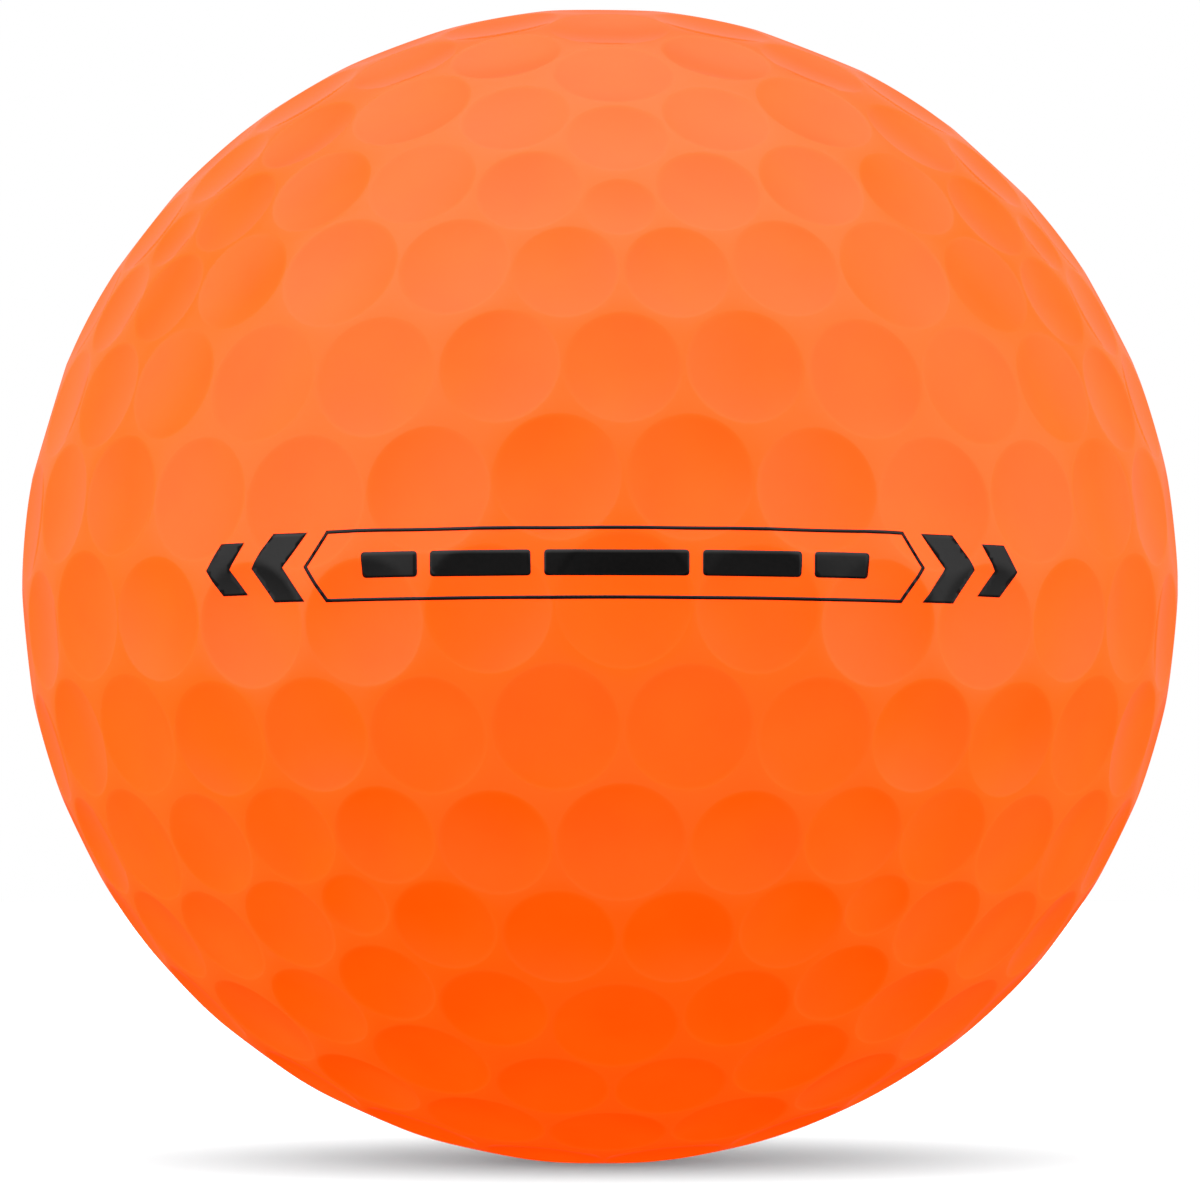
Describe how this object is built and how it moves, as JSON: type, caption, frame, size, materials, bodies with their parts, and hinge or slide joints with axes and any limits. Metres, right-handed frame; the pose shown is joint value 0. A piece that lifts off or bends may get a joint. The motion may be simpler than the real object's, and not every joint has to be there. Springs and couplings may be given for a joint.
{
  "type": "golf ball",
  "caption": "Golf ball with a rubber core, a dimpled moulded cover in bright orange and a printed alignment stamp on one side.",
  "frame": {"origin": "centre of the ball", "axes": "+Z along the axis of the dimple layout, square to the parting plane of the cover at Z = 0; the printed stamp faces -Y and reads along +X"},
  "size_m": [0.0426, 0.0427, 0.0424],
  "materials": {
    "core_rubber": "matte moulded polybutadiene rubber",
    "cover": "bright orange ionomer under a clear coat with a soft satin gloss",
    "ink": "black pad-printed ink under the clear coat"
  },
  "bodies": {
    "root": {"core": "core_rubber", "cover_upper_half": "cover", "cover_lower_half": "cover", "stamp_outline": "ink", "stamp_bars": "ink", "stamp_inner_chevrons": "ink", "stamp_outer_chevrons": "ink"}
  },
  "joints": []
}
